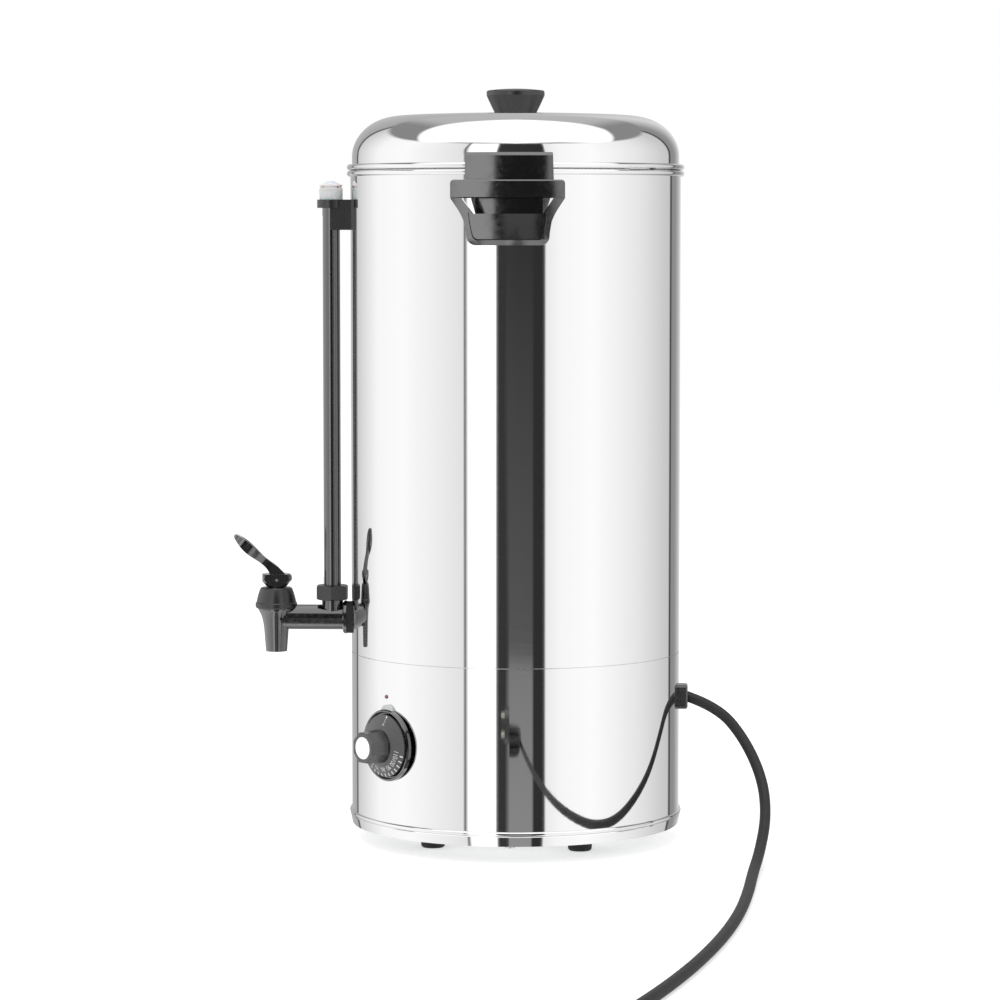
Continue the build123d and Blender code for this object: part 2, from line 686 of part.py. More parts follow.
def cord_gland():
    """Clamping bush: square head with a pocket in either side, and a tapered grip inside the wall."""
    head = block((130, 142.2), (-9.5, 9.5), (gland_height - 9.9, gland_height + 9.9))
    head = outside_wall(fillet(head.edges().filter_by(Axis.X), 3.0))
    head = chamfer(head.faces().sort_by(Axis.X)[-1].edges(), 1.2)
    for side in ((-10, -8.5), (8.5, 10)):
        head -= block((136.2, 140.0), side, (gland_height - 7.2, gland_height + 4.4))
    grip = Pos(119, 0, gland_height) * Rot(0, 90, 0) * Cone(6.2, 8.0, 12, align=BASE)
    bush = head + grip + peg(8.0, 131, 136, gland_height)
    return turned(bush - peg(cord_diameter / 2, 110, 150, gland_height), cord_angle)


def gland_nut():
    nut = Rot(0, 90, 0) * hex_prism(24.0, 0, 4.0)
    nut = Pos(129.2, 0, gland_height) * nut - peg(8.0, 110, 150, gland_height)
    return turned(inside_wall(nut), cord_angle)


# ---- Mains lead ----
cord_route = [
    (2.5, 141.0, 118.0), (5, 167, 109.5), (14, 189, 84), (38, 203, 55), (80, 205, 31),
    (134, 198, 11), (190, 191, 4.4), (262, 186, 4.4), (346, 178, 4.4), (434, 165, 4.4),
    (522, 147, 4.4), (608, 125, 4.4), (692, 99, 4.4), (776, 67, 4.4),
]
coil_centre, coil_radius = (766.0, 18.0), 45.0
plug_start = -22.0             # where the plug's sleeve begins, along Y
plug_axis_height = 17.0


def corner_radii(route):
    """The largest arc at each corner that leaves a little straight between neighbouring arcs."""
    points = [Vector(*p) for p in route]
    radii = []
    for before, corner, after in zip(points, points[1:], points[2:]):
        first, second = corner - before, after - corner
        half_turn = radians(first.get_angle(second)) / 2
        radii.append(0.45 * min(first.length, second.length) / tan(half_turn))
    return radii


def mains_cord():
    radii = corner_radii(cord_route)
    line = FilletPolyline(*cord_route, radius=radii)
    tube = sweep(Plane(line @ 0, z_dir=line % 0) * Circle(cord_diameter / 2), path=line)
    expected = line.length * pi * (cord_diameter / 2) ** 2
    print("cord radii", [round(r) for r in radii], "length", round(line.length),
          "volume ratio", round(tube.volume / expected, 4))
    return tube


def cord_coil():
    """Outer shape of the put-away turns: two side by side with a third in the groove between them."""
    half = cord_diameter
    profile = section((coil_radius - half, 0), (coil_radius + half, 0), (coil_radius + half, 5.5),
                      (coil_radius + 4.6, 16.4), (coil_radius - 4.6, 16.4), (coil_radius - half, 5.5))
    return Pos(*coil_centre, 0) * spun(profile)


def cord_tail():
    line = Line((coil_centre[0] + coil_radius, coil_centre[1], 12.0),
                (coil_centre[0] + coil_radius, plug_start, plug_axis_height))
    return sweep(Plane(line @ 0, z_dir=line % 0) * Circle(cord_diameter / 2), path=line)


def plug_place(shape):
    """Turns a plug drawn along +Z so that its pins point to -Y, beside the coil."""
    return Pos(coil_centre[0] + coil_radius, plug_start, plug_axis_height) * Rot(90, 0, 0) * shape


def mains_plug():
    outline = [
        Line((0, 0), (6.0, 0)),
        Line((6.0, 0), (7.2, 20)),
        Spline((7.2, 20), (12.5, 26), (17.6, 38), (18.4, 46), tangents=((0.2, 1), (0, 1))),
        Line((18.4, 46), (18.4, 58)),
        Line((18.4, 58), (0, 58)),
        Line((0, 58), (0, 0)),
    ]
    plug = spun(make_face(Plane.XZ * Curve(outline)))
    plug &= Pos(0, 0, 30) * Box(34.0, 34.0, 70)
    for side in (-1, 1):
        plug -= Pos(side * 17.0, 0, 52) * Box(3.0, 6.0, 16)
    for side in (-9.5, 9.5):
        plug -= upright(2.4, 50, 60, 0, side)
    return plug_place(plug)


def plug_pins():
    def pin(side):
        return fillet(upright(2.4, 50, 77, 0, side).edges().group_by(Axis.Z)[-1], 1.6)
    return plug_place(group([pin(-9.5), pin(9.5)]))


NODES = {
    "tank_shell": tank_shell, "tank_floor": tank_floor, "base_skirt": base_skirt,
    "base_ring": base_ring, "base_cover": base_cover, "cover_screws": cover_screws,
    "feet": feet, "foot_screws": foot_screws,
    "heater_plate": heater_plate, "heating_element": heating_element, "heater_clamp": heater_clamp,
    "dry_boil_cutout": cutout, "thermostat_body": thermostat_body,
    "thermostat_screws": thermostat_screws, "thermostat_sensor": thermostat_sensor,
    "terminal_block": terminal_block, "earth_stud": earth_stud,
    "lid_shell": lid_shell, "lid_skirt": lid_skirt, "lid_knob": lid_knob,
    "lid_screw": lid_screw, "lid_washer": lid_washer,
    "handle_screws": handle_screws,
    "tap_body": tap_body, "tap_washers": tap_washers, "tap_nut": tap_nut, "tap_bonnet": tap_bonnet,
    "seat_cup": seat_cup, "tap_stem": tap_stem, "stem_spring": stem_spring,
    "tap_lever": tap_lever, "lever_pin": lever_pin,
    "gauge_nut": gauge_nut, "gauge_seal": gauge_seal, "sight_glass": sight_glass,
    "gauge_guard": gauge_guard, "gauge_bracket": gauge_bracket, "bracket_screw": bracket_screw,
    "gauge_cap": gauge_cap,
    "dial_bezel": dial_bezel, "dial_knob": dial_knob, "dial_cap": dial_cap,
    "thermostat_shaft": thermostat_shaft, "dial_index": dial_index, "pilot_lamp": pilot_lamp,
    "cord_gland": cord_gland, "gland_nut": gland_nut,
    "mains_cord": mains_cord, "cord_coil": cord_coil, "cord_tail": cord_tail,
    "mains_plug": mains_plug, "plug_pins": plug_pins,
}

os.makedirs("parts", exist_ok=True)
for name, make in NODES.items():
    export_step(make(), f"parts/{name}.step")
for name, angle in handle_angles.items():
    export_step(turned(handle(), angle), f"parts/handle_{name}.step")
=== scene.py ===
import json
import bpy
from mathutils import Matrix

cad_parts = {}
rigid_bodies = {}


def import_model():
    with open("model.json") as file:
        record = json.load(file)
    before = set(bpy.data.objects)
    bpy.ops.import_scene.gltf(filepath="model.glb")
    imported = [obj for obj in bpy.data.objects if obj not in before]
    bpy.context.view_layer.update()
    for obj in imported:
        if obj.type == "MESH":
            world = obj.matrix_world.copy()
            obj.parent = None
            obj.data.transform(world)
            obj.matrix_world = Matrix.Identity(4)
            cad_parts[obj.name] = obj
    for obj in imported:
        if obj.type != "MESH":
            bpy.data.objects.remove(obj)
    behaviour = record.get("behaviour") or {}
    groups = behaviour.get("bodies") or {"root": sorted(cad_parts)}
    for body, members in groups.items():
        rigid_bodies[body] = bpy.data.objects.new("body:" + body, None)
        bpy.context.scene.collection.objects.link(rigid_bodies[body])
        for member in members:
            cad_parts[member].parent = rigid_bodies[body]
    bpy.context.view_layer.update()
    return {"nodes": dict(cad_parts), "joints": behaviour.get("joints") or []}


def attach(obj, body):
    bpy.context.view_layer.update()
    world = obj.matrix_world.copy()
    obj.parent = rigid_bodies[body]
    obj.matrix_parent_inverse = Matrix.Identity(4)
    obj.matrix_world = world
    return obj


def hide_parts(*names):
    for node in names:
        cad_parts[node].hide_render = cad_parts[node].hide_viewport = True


bl_info = {
    "name": "Hot Water Urn",
    "version": (1, 0, 0),
    "blender": (4, 5, 0),
    "location": "View3D > Sidebar > Urn",
    "description": "Finishes, scale, mains lead and studio for a 20 litre hot water urn",
    "category": "Object",
}

from functools import cache
from math import cos, pi, radians, sin

import bpy
from mathutils import Matrix, Vector

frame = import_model()

WHITE = (1.0, 1.0, 1.0, 1.0)

# ---- Places and sizes that follow the model, in metres ----
DIAL_JOINT = next(joint for joint in frame["joints"] if joint["name"] == "dial_turn")
DIAL_OUTWARD = Vector(DIAL_JOINT["axis"])
DIAL_HEIGHT = DIAL_JOINT["pos_m"][2]
DIAL_BACK = min(vertex.co.dot(DIAL_OUTWARD) for vertex in frame["nodes"]["dial_knob"].data.vertices)
# The dial's coned rim: radius and height of its outer edge, and of its top.
CONE_EDGE, CONE_TOP = (0.0252, 0.0019), (0.0142, 0.0069)

# Corner radii of the small mouldings that are shown rounded.
LEVER_ROUNDING = 0.0008
PLUG_ROUNDING = 0.0006
FITTING_ROUNDING = 0.0005        # the gauge's nut and clip, and the lead's bush
GRIP_ROUNDING = 0.0002           # the dial's grip
ROUNDED_FROM = 32.0              # a corner that turns by more degrees than this is rounded
GRIP_ROUNDED_FROM = 22.0         # the grip's facets meet at flatter corners
FLAT_WITHIN = 0.6                # faces that differ by fewer degrees are made one before the rounding
MERGED_WITHIN = 0.000004         # points of the model's triangles that lie closer than this are one

# ---- The dial's printed marks, in metres ----
HOTTEST, DEGREES_APART, FIGURES = 110, 10, 9   # the figures run down from the hottest in even steps
FIGURE_RADIUS = 0.0187           # from the dial's middle to the middle of a figure
FIGURE_WIDTH = 0.95              # the dial's figures are narrower than the font's
CAPITAL_SHARE = 0.7              # height of a figure as a share of the font's size
TICK_WIDTH, TICK_END = 0.0012, 0.025   # a tick's width, and its outer end's distance from the middle
# The off mark: a dot at the rim, a thin line inward and a bar across its end. The dot's radius, or the
# width and length of the line and the bar, and then the distance of each from the dial's middle.
OFF_DOT, OFF_DOT_AT = 0.0009, 0.0238
OFF_LINE, OFF_LINE_AT = (0.0004, 0.0048), 0.0202
OFF_BAR, OFF_BAR_AT = (0.0026, 0.0005), 0.0176
INK_DEPTH = 0.00004              # half the thickness of the printed marks

# ---- The mains lead, in metres ----
# Its route from its bush to the coil that stores the rest of it.
LEAD_ROUTE = [
    (0.0025, 0.141, 0.118), (0.005, 0.167, 0.1095), (0.014, 0.189, 0.084), (0.038, 0.203, 0.055),
    (0.08, 0.205, 0.031), (0.134, 0.198, 0.011), (0.19, 0.191, 0.0044), (0.262, 0.186, 0.0044),
    (0.346, 0.178, 0.0044), (0.434, 0.165, 0.0044), (0.522, 0.147, 0.0044), (0.608, 0.125, 0.0044),
    (0.692, 0.099, 0.0044),
]
COIL_CENTRE = (0.766, 0.018)
COIL_START = radians(78.5)       # where the lead joins the coil, round its centre
COIL_STEPS = 42
NESTED = 1.366                   # height of a turn in the groove between two others, in diameters
# The lead's line through the coil: turns made, then distance outwards and height, both in diameters.
# Two turns lie side by side and one lies in the groove on top of them. The end then crosses outwards.
COIL_STAGES = [
    (0.0, 0.5, 0.5), (0.8, 0.5, 0.5), (1.0, -0.5, 0.5), (1.7, -0.5, 0.5), (1.85, 0.0, 1.5),
    (2.0, 0.0, NESTED), (2.75, 0.0, NESTED), (3.0, 0.85, 1.5), (3.218, 1.0, NESTED),
]
# From the coil the lead climbs to the plug's sleeve and enters it straight.
CLIMB_BACK, CLIMB_SIDE, CLIMB_HEIGHT = 0.003, 0.0, 0.0145
PLUG_MOUTH = (0.811, -0.008, 0.017)
PLUG_END = (0.811, -0.024, 0.017)

# ---- The stage, in metres ----
CAMERA_PLACE = (2.99316, 0.10714, 0.5062)
CAMERA_ANGLES = (radians(85.67), 0.0, radians(92.294))
CAMERA_LENS, CAMERA_SENSOR = 131.31, 36.0   # in millimetres
CAMERA_REACH = 60.0
LAMP_PLACE, LAMP_TARGET = (0.3, -0.4, 2.4), (0.0, 0.0, 0.2)
LAMP_SIZE = 2.4
PAPER_GLOW = 0.5                 # what the floor adds to its brightness for the camera alone

# ---- The studio, as the urn's polish mirrors it ----
# Brightness round the urn: degrees from the camera's side, positive to the camera's right. Two wide soft
# screens end in thin dark seams, and between them stand a white strip and a dark gap.
SCREENS = [
    (-180.0, 0.36), (-149.4, 0.3), (-148.6, 0.01), (-146.5, 0.01), (-145.8, 0.46), (-138.0, 0.534),
    (-111.0, 0.789), (-85.0, 0.826), (-60.0, 0.739), (-36.0, 0.645), (-35.4, 0.08), (-34.0, 0.08),
    (-33.4, 1.1), (-13.2, 1.1), (-12.6, 0.03), (19.6, 0.022), (20.6, 0.7), (31.0, 0.789), (54.0, 0.833),
    (79.0, 0.739), (96.0, 0.664), (126.0, 0.495), (136.0, 0.456), (136.8, 0.015), (138.9, 0.015),
    (140.0, 0.2), (149.0, 0.217), (170.0, 0.5), (180.0, 0.36),
]
# The pale floor in front of the urn shows in the lower part of the gap: its share by degrees round the
# urn, and its brightness by the height of the direction. Such heights are sines.
FLOOR_SHARE = [(-180.0, 0.0), (-7.74, 0.0), (-6.84, 1.0), (11.7, 1.0), (12.6, 0.0)]
FLOOR_BRIGHTNESS = [(-0.25, 0.2), (-0.1725, 0.18), (-0.121, 0.135), (-0.118, 0.05), (0.0, 0.0)]
# The overhead soft box in a plane one unit up: half its width, its middle and half its length, how square
# its sides and ends are, and where its edge fades out.
BOX_HALF_WIDTH, BOX_MIDDLE, BOX_HALF_LENGTH = 1.55, 0.4, 0.97
BOX_SIDES, BOX_ENDS = 1.05, 1.4
BOX_FADE = (1.1, 0.95)
BOX_BRIGHTNESS = 0.95
# The ceiling takes over from the screens at this height of the direction. It is brighter along the line
# of sight than beside it.
CEILING_START = (0.54, 0.6)
CEILING_BRIGHTNESS, CEILING_FADE = (0.38, 0.2), (0.3, 0.6)
LEAST_RISE = 0.05                # stands in for the height of directions that are level or point down
STUDIO_TURN = radians(-2.05)     # puts the camera's side at zero degrees
STUDIO_LEVEL = 1.6
EVEN_LIGHT = 0.62                # what falls on surfaces that don't mirror


# ---- Helpers ----
def linear(hex_colour):
    """An sRGB hex colour as the linear, opaque colour that shaders use."""
    channels = [int(hex_colour[i:i + 2], 16) / 255 for i in (0, 2, 4)]
    return tuple(c / 12.92 if c <= 0.04045 else ((c + 0.055) / 1.055) ** 2.4 for c in channels) + (1.0,)


def add(tree, kind, inputs=None, **settings):
    """Adds a node, sets its properties, and fills in or links its inputs."""
    node = tree.nodes.new(kind)
    for name, value in settings.items():
        setattr(node, name, value)
    for name, value in (inputs or {}).items():
        if isinstance(value, bpy.types.NodeSocket):
            tree.links.new(value, node.inputs[name])
        else:
            node.inputs[name].default_value = value
    return node


def new_material(name, **sockets):
    """A material with one Principled shader whose fixed values are set on its own sockets."""
    material = bpy.data.materials.new(name)
    material.use_nodes = True
    shader = material.node_tree.nodes["Principled BSDF"]
    for socket, value in sockets.items():
        shader.inputs[socket.replace("_", " ")].default_value = value
    return material, material.node_tree, shader


def grain(tree, shader, size, depth, smooth, rough, stretch=(1.0, 1.0, 1.0), detail=3.0):
    """Roughens and dents a surface with a noise whose marks are `size` mm wide and `depth` mm deep."""
    place = add(tree, "ShaderNodeTexCoord").outputs["Object"]
    spread = add(tree, "ShaderNodeMapping", {"Vector": place, "Scale": stretch}).outputs["Vector"]
    marks = add(tree, "ShaderNodeTexNoise",
                {"Vector": spread, "Scale": 1000.0 / size, "Detail": detail}).outputs["Fac"]
    gloss = add(tree, "ShaderNodeMapRange", {"Value": marks, "From Min": 0.3, "From Max": 0.7,
                                             "To Min": smooth, "To Max": rough}).outputs["Result"]
    dents = add(tree, "ShaderNodeBump", {"Height": marks, "Distance": depth / 1000.0}).outputs["Normal"]
    tree.links.new(gloss, shader.inputs["Roughness"])
    tree.links.new(dents, shader.inputs["Normal"])


def mottle(tree, shader, size, first, second, low=0.35, high=0.65):
    """Lets the colour drift between two close tones in patches `size` mm wide."""
    place = add(tree, "ShaderNodeTexCoord").outputs["Object"]
    patches = add(tree, "ShaderNodeTexNoise",
                  {"Vector": place, "Scale": 1000.0 / size, "Detail": 4.0}).outputs["Fac"]
    tones = add(tree, "ShaderNodeValToRGB", {"Fac": patches})
    for element, stop, colour in zip(tones.color_ramp.elements, (low, high), (first, second)):
        element.position, element.color = stop, colour
    tree.links.new(tones.outputs["Color"], shader.inputs["Base Color"])


def cover(piece, material):
    """Gives a piece one finish in place of all others."""
    piece.data.materials.clear()
    piece.data.materials.append(material)


def coat(node, material):
    """Gives a solid of the model its finish."""
    cover(frame["nodes"][node], material)


def only(thing):
    """Makes one object the selected and active one."""
    bpy.ops.object.select_all(action="DESELECT")
    thing.select_set(True)
    bpy.context.view_layer.objects.active = thing


def put(thing, matrix):
    """Places a new piece, applies its place to its mesh and returns it."""
    only(thing)
    thing.matrix_world = matrix
    bpy.ops.object.transform_apply(location=True, rotation=True, scale=True)
    return thing


def dial_plane():
    """The dial's own axes: X to the right as one faces it, Y up, Z out of the wall, from its back."""
    rightward = Vector((-DIAL_OUTWARD.y, DIAL_OUTWARD.x, 0.0))
    basis = Matrix((rightward, Vector((0, 0, 1)), DIAL_OUTWARD)).transposed().to_4x4()
    basis.translation = DIAL_OUTWARD * DIAL_BACK + Vector((0, 0, DIAL_HEIGHT))
    return basis


def drape(mark, radius, turn):
    """Lays a flat mark, drawn round its own middle, on the dial's cone at a radius and a turn."""
    put(mark, Matrix.Rotation(turn, 4, "Z") @ Matrix.Translation((0, radius, 0)))
    (edge, low), (tip, high) = CONE_EDGE, CONE_TOP
    for vertex in mark.data.vertices:
        vertex.co.z += low + (edge - vertex.co.xy.length) * (high - low) / (edge - tip)
    return put(mark, dial_plane())


def softened(node, name, width, body, limit=ROUNDED_FROM):
    """A copy of a moulding, shown in its place, whose corners of more than `limit` degrees are rounded."""
    only(frame["nodes"][node])
    bpy.ops.object.duplicate()
    piece = bpy.context.active_object
    piece.name = piece.data.name = name
    bpy.ops.object.parent_clear(type="CLEAR_KEEP_TRANSFORM")
    bpy.ops.object.mode_set(mode="EDIT")
    bpy.ops.mesh.select_all(action="SELECT")
    bpy.ops.mesh.remove_doubles(threshold=MERGED_WITHIN)
    bpy.ops.mesh.dissolve_limited(angle_limit=radians(FLAT_WITHIN))
    bpy.ops.object.mode_set(mode="OBJECT")
    bevel = piece.modifiers.new("rounding", "BEVEL")
    bevel.width = width
    bevel.segments = 3
    bevel.limit_method = "ANGLE"
    bevel.angle_limit = radians(limit)
    bpy.ops.object.modifier_apply(modifier=bevel.name)
    bpy.ops.object.shade_smooth_by_angle(angle=radians(limit))
    weighted = piece.modifiers.new("flat faces", "WEIGHTED_NORMAL")
    weighted.keep_sharp = True
    bpy.ops.object.modifier_apply(modifier=weighted.name)
    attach(piece, body)
    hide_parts(node)
    return piece


# ---- Finishes ----
@cache
def polished_stainless():
    """Deep drawn 18/10 stainless, polished on a lathe: clear reflections, drawn out by faint rings."""
    colour = bpy.context.scene.urn_finish.steel
    material, tree, shader = new_material("polished stainless", Metallic=1.0, Base_Color=(*colour, 1.0))
    # The polishing rings are finer than a hair; at 0.9 mm they are as coarse as they need to be to show.
    grain(tree, shader, size=0.9, depth=0.00012, smooth=0.02, rough=0.05, stretch=(0.03, 0.03, 1.0),
          detail=4.0)
    return material


@cache
def satin_stainless():
    """Rolled stainless left with its mill finish: a soft, broad sheen with fine lines."""
    material, tree, shader = new_material("satin stainless", Metallic=1.0)
    grain(tree, shader, size=1.2, depth=0.004, smooth=0.24, rough=0.36, stretch=(0.08, 1.0, 1.0))
    mottle(tree, shader, size=60.0, first=linear("C9CBCD"), second=linear("D3D5D6"))
    return material


@cache
def turned_stainless():
    """Stainless bar and wire of the screws, the heater's clamp, and the tap's stem, pin and spring."""
    material, tree, shader = new_material("turned stainless", Metallic=1.0)
    grain(tree, shader, size=0.5, depth=0.003, smooth=0.2, rough=0.34, stretch=(0.2, 0.2, 1.0))
    mottle(tree, shader, size=4.0, first=linear("BFC1C2"), second=linear("CDCFD0"))
    return material


@cache
def cast_aluminium():
    """Sand-textured casting, pale grey and dull."""
    material, tree, shader = new_material("cast aluminium", Metallic=1.0)
    grain(tree, shader, size=0.8, depth=0.04, smooth=0.42, rough=0.6)
    mottle(tree, shader, size=9.0, first=linear("A9ABAD"), second=linear("BABCBD"))
    return material


@cache
def element_sheath():
    """Nickel alloy tube, darkened and straw-tinted by heat."""
    material, tree, shader = new_material("heat tinted alloy", Metallic=1.0)
    grain(tree, shader, size=1.0, depth=0.01, smooth=0.35, rough=0.5)
    mottle(tree, shader, size=16.0, first=linear("6F6861"), second=linear("8A7C66"))
    return material


@cache
def drawn_copper():
    """Drawn copper tube with a thin brown tarnish."""
    material, tree, shader = new_material("drawn copper", Metallic=1.0)
    grain(tree, shader, size=0.7, depth=0.004, smooth=0.24, rough=0.4)
    mottle(tree, shader, size=7.0, first=linear("C98565"), second=linear("A9684B"))
    return material


@cache
def turned_brass():
    """Free-cutting brass straight from the lathe."""
    material, tree, shader = new_material("turned brass", Metallic=1.0)
    grain(tree, shader, size=0.5, depth=0.004, smooth=0.2, rough=0.34, stretch=(1.0, 0.1, 0.1))
    mottle(tree, shader, size=5.0, first=linear("D8B872"), second=linear("C7A460"))
    return material


@cache
def glazed_steatite():
    """Pressed steatite under a thin cream glaze."""
    material, tree, shader = new_material("glazed steatite", IOR=1.55, Coat_Weight=0.4, Coat_Roughness=0.1)
    grain(tree, shader, size=0.6, depth=0.01, smooth=0.3, rough=0.45)
    mottle(tree, shader, size=2.0, first=linear("E9E4D8"), second=linear("DED8CA"), low=0.5, high=0.75)
    return material


@cache
def bright_phenolic():
    """Compression moulded phenolic, buffed: deep black with a slightly wavy gloss."""
    colour = bpy.context.scene.urn_finish.black
    material, tree, shader = new_material("bright phenolic", Base_Color=(*colour, 1.0), IOR=1.58,
                                          Specular_IOR_Level=1.0, Coat_Weight=0.9, Coat_Roughness=0.08)
    # Flow marks of the moulding, a few millimetres apart.
    grain(tree, shader, size=3.5, depth=0.0025, smooth=0.1, rough=0.19, detail=2.0)
    return material


@cache
def satin_phenolic():
    """The same phenolic as it leaves the mould: its filler shows as a fine grain that dulls the gloss."""
    material, tree, shader = new_material("satin phenolic", IOR=1.58, Specular_IOR_Level=0.6)
    grain(tree, shader, size=0.8, depth=0.014, smooth=0.26, rough=0.38)
    mottle(tree, shader, size=1.4, first=linear("131315"), second=linear("1E1E20"))
    return material


@cache
def satin_thermoset():
    """Glass-filled thermoset with a fine spark-eroded texture, charcoal rather than black."""
    material, tree, shader = new_material("satin thermoset", IOR=1.54, Specular_IOR_Level=0.9)
    grain(tree, shader, size=0.45, depth=0.006, smooth=0.2, rough=0.3)
    mottle(tree, shader, size=1.6, first=linear("2C2C2F"), second=linear("353538"))
    return material


@cache
def grey_polyamide():
    """Moulded polyamide housing, matt mid grey."""
    material, tree, shader = new_material("grey polyamide", IOR=1.53)
    grain(tree, shader, size=0.6, depth=0.01, smooth=0.45, rough=0.58)
    mottle(tree, shader, size=3.0, first=linear("5C5F62"), second=linear("65686B"))
    return material


@cache
def black_rubber():
    """Moulded nitrile rubber of the feet and seals, matt and faintly dusty."""
    material, tree, shader = new_material("nitrile rubber", IOR=1.52)
    grain(tree, shader, size=0.5, depth=0.02, smooth=0.65, rough=0.85)
    mottle(tree, shader, size=5.0, first=linear("141415"), second=linear("1D1D1E"))
    return material


@cache
def food_silicone():
    """Translucent silicone of the seals."""
    material, tree, shader = new_material("food silicone", IOR=1.41, Subsurface_Weight=0.3,
                                          Subsurface_Scale=0.004)
    grain(tree, shader, size=0.7, depth=0.006, smooth=0.35, rough=0.5)
    mottle(tree, shader, size=3.0, first=linear("D9DAD4"), second=linear("E6E6E1"))
    return material


@cache
def milky_polypropylene():
    """Natural polypropylene: milky, with light that bleeds into its edges."""
    material, tree, shader = new_material("milky polypropylene", IOR=1.49, Subsurface_Weight=0.5,
                                          Subsurface_Scale=0.003)
    grain(tree, shader, size=0.9, depth=0.006, smooth=0.32, rough=0.46)
    mottle(tree, shader, size=4.0, first=linear("E3E6E6"), second=linear("EEF0EF"))
    return material


@cache
def pale_acetal():
    """Turned acetal, pale grey and faintly waxy."""
    material, tree, shader = new_material("pale acetal", IOR=1.48)
    grain(tree, shader, size=0.6, depth=0.004, smooth=0.34, rough=0.46)
    mottle(tree, shader, size=2.0, first=linear("DFE1E1"), second=linear("E8EAEA"))
    return material


@cache
def spun_aluminium():
    """Aluminium disc with fine turned rings, lacquered bright."""
    material, tree, shader = new_material("spun aluminium", Metallic=1.0, Coat_Weight=0.2,
                                          Coat_Roughness=0.15)
    grain(tree, shader, size=0.5, depth=0.003, smooth=0.34, rough=0.46)
    mottle(tree, shader, size=6.0, first=linear("F1F2F3"), second=linear("FAFAFA"))
    return material


@cache
def lamp_lens():
    """Ruby polycarbonate lens of the pilot lamp, unlit."""
    colour = bpy.context.scene.urn_finish.lamp
    material, tree, shader = new_material("ruby polycarbonate", Base_Color=(*colour, 1.0), IOR=1.58,
                                          Transmission_Weight=0.35, Coat_Weight=0.3)
    grain(tree, shader, size=0.6, depth=0.004, smooth=0.1, rough=0.22)
    return material


@cache
def gauge_glass():
    """Drawn borosilicate tube: clear, with faint draw lines along it."""
    material, tree, shader = new_material("borosilicate glass", IOR=1.47, Transmission_Weight=1.0,
                                          Base_Color=linear("F4F8F7"))
    grain(tree, shader, size=1.4, depth=0.0008, smooth=0.01, rough=0.04, stretch=(1.0, 1.0, 0.02))
    return material


@cache
def lead_sheath():
    """Rubber sheath of the mains lead: matt black with a talc bloom."""
    colour = bpy.context.scene.urn_lead.sheath
    material, tree, shader = new_material("rubber lead sheath", IOR=1.52)
    grain(tree, shader, size=0.7, depth=0.012, smooth=0.48, rough=0.64)
    bloom = tuple(1.35 * c for c in colour)
    mottle(tree, shader, size=12.0, first=(*colour, 1.0), second=(*bloom, 1.0))
    return material


@cache
def nickel_plate():
    """Bright nickel on the plug's pins, with fine contact scratches along them."""
    material, tree, shader = new_material("nickel plate", Metallic=1.0)
    grain(tree, shader, size=0.4, depth=0.003, smooth=0.12, rough=0.26, stretch=(1.0, 0.05, 1.0))
    mottle(tree, shader, size=3.0, first=linear("CFCBC3"), second=linear("DBD8D1"))
    return material


@cache
def scale_ink():
    """Pad-printed white ink, thin enough to look a little uneven."""
    colour = bpy.context.scene.urn_finish.ink
    material, tree, shader = new_material("pad printed ink", IOR=1.48)
    grain(tree, shader, size=0.3, depth=0.004, smooth=0.4, rough=0.55)
    thin = tuple(0.9 * c for c in colour)
    mottle(tree, shader, size=0.8, first=(*colour, 1.0), second=(*thin, 1.0))
    return material


@cache
def white_paper():
    """Matt white paper of the floor, which glows a little for the camera alone."""
    material = bpy.data.materials.new("matt white paper")
    material.use_nodes = True
    tree = material.node_tree
    tree.nodes.clear()
    ray = add(tree, "ShaderNodeLightPath").outputs["Is Camera Ray"]
    paper = add(tree, "ShaderNodeBsdfDiffuse", {"Color": linear("F3F3F3")}).outputs[0]
    lift = add(tree, "ShaderNodeMath", {0: ray, 1: PAPER_GLOW}, operation="MULTIPLY").outputs[0]
    glow = add(tree, "ShaderNodeEmission", {"Color": WHITE, "Strength": lift}).outputs[0]
    both = add(tree, "ShaderNodeAddShader", {0: paper, 1: glow}).outputs[0]
    add(tree, "ShaderNodeOutputMaterial", {"Surface": both})
    return material


# ---- Studio ----
def ramp_of(tree, source, stops):
    """A grey ramp over 0 to 1 from (place, brightness) pairs."""
    node = add(tree, "ShaderNodeValToRGB", {"Fac": source})
    elements = node.color_ramp.elements
    while len(elements) > 1:
        elements.remove(elements[-1])
    elements[0].position = stops[0][0]
    for place, _ in stops[1:]:
        elements.new(place)
    for element, (_, value) in zip(elements, stops):
        element.color = (value, value, value, 1.0)
    return node.outputs["Color"]


def round_ramp(tree, turn, stops):
    """A grey ramp round the urn, from (degrees, brightness) pairs."""
    return ramp_of(tree, turn, [(0.5 + angle / 360.0, value) for angle, value in stops])


def show_world(tree, studio):
    """Gives white to the camera, even light to matt surfaces, and the studio to mirrors."""
    ray = add(tree, "ShaderNodeLightPath").outputs
    even, mirrored, white = (
        add(tree, "ShaderNodeBackground", {"Color": WHITE, "Strength": strength}).outputs[0]
        for strength in (EVEN_LIGHT, studio, 1.0)
    )
    seen = add(tree, "ShaderNodeMath", {0: ray["Is Camera Ray"], 1: ray["Is Transmission Ray"]},
               operation="MAXIMUM").outputs[0]
    unseen = add(tree, "ShaderNodeMixShader", {"Fac": ray["Is Glossy Ray"], 1: even, 2: mirrored})
    both = add(tree, "ShaderNodeMixShader", {"Fac": seen, 1: unseen.outputs[0], 2: white})
    add(tree, "ShaderNodeOutputWorld", {"Surface": both.outputs[0]})


